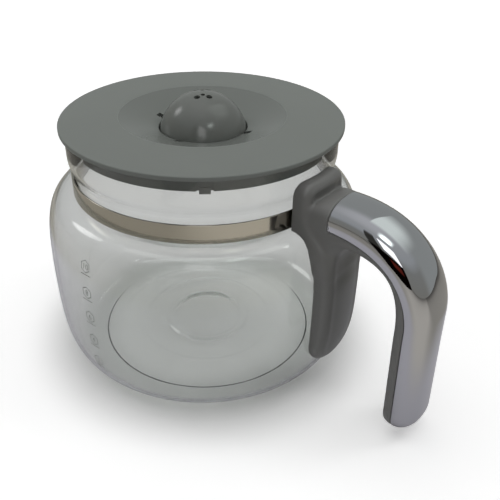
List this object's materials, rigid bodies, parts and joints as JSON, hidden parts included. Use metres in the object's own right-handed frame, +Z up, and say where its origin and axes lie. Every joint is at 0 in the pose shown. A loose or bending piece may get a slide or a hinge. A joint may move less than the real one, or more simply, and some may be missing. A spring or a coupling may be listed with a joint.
{
  "type": "glass coffee carafe",
  "caption": "Squat glass coffee carafe with a steel neck band, a bent plated handle and a lift-off lid with a domed, vented centre.",
  "frame": {"origin": "middle of the flat base that stands on the table or hotplate", "axes": "+X towards the handle, +Z up along the bowl's axis, +Y to the left when looking from the handle to the bowl's far side"},
  "size_m": [0.1944, 0.1452, 0.124],
  "materials": {
    "clear_glass": "clear, fire polished",
    "polished_steel": "polished",
    "zinc_steel": "zinc plated",
    "chrome_plate": "mirror plated",
    "handle_plastic": "satin moulded",
    "lid_plastic": "fine matte texture",
    "dome_plastic": "smooth, half gloss"
  },
  "bodies": {
    "carafe": {"glass_bowl": "clear_glass", "neck_band": "polished_steel", "clamp_screw": "zinc_steel", "clamp_nut": "zinc_steel", "handle_body": "handle_plastic", "chrome_cover": "chrome_plate", "cover_screw_lower": "zinc_steel", "cover_screw_upper": "zinc_steel"},
    "lid": {"lid_disc": "lid_plastic", "lid_skirt": "lid_plastic", "drip_dome": "dome_plastic"}
  },
  "joints": [
    {"name": "lid_lift", "type": "slide", "parent": "carafe", "child": "lid", "axis": [0, 0, 1], "range_m": [0, 0.06]}
  ]
}
